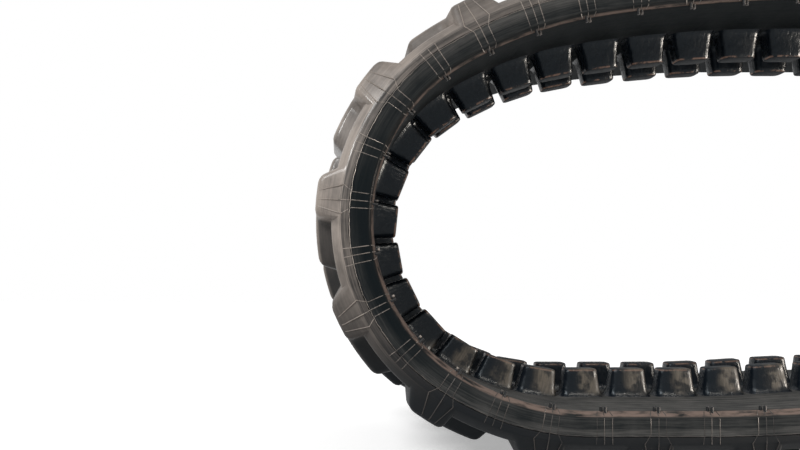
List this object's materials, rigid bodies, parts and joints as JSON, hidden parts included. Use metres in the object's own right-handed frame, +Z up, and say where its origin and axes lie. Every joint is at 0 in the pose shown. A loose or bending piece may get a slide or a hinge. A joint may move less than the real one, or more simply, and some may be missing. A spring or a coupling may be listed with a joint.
{
  "type": "rubber track",
  "caption": "Endless rubber crawler track with steel cores, paired guide horns, sprocket windows and staggered tread lugs, standing on its tread.",
  "frame": {"origin": "middle of the track's footprint on the ground", "axes": "+X along the loop, +Y across the belt from the near edge to the far edge, +Z up"},
  "size_m": [1.2844, 0.3, 0.5212],
  "materials": {
    "tread_rubber": "satin, slightly dusty",
    "wheel_side_rubber": "satin black",
    "forged_core": "dark, half gloss",
    "cord_steel": "brass-coated wire in rubber"
  },
  "bodies": {
    "root": {"wheel_side_rubber": "wheel_side_rubber", "tread_rubber": "tread_rubber", "cord_band_near": "cord_steel", "cord_band_far": "cord_steel", "core_01": "forged_core", "core_02": "forged_core", "core_03": "forged_core", "core_04": "forged_core", "core_05": "forged_core", "core_06": "forged_core", "core_07": "forged_core", "core_08": "forged_core", "core_09": "forged_core", "core_10": "forged_core", "core_11": "forged_core", "core_12": "forged_core", "core_13": "forged_core", "core_14": "forged_core", "core_15": "forged_core", "core_16": "forged_core", "core_17": "forged_core", "core_18": "forged_core", "core_19": "forged_core", "core_20": "forged_core", "core_21": "forged_core", "core_22": "forged_core", "core_23": "forged_core", "core_24": "forged_core", "core_25": "forged_core", "core_26": "forged_core", "core_27": "forged_core", "core_28": "forged_core", "core_29": "forged_core", "core_30": "forged_core", "core_31": "forged_core", "core_32": "forged_core", "core_33": "forged_core", "core_34": "forged_core", "core_35": "forged_core", "core_36": "forged_core", "core_37": "forged_core", "core_38": "forged_core", "core_39": "forged_core", "core_40": "forged_core", "core_41": "forged_core", "core_42": "forged_core", "core_43": "forged_core", "core_44": "forged_core", "core_45": "forged_core", "core_46": "forged_core", "core_47": "forged_core", "core_48": "forged_core", "core_49": "forged_core", "core_50": "forged_core", "core_51": "forged_core", "core_52": "forged_core", "core_53": "forged_core", "core_54": "forged_core"}
  },
  "joints": []
}
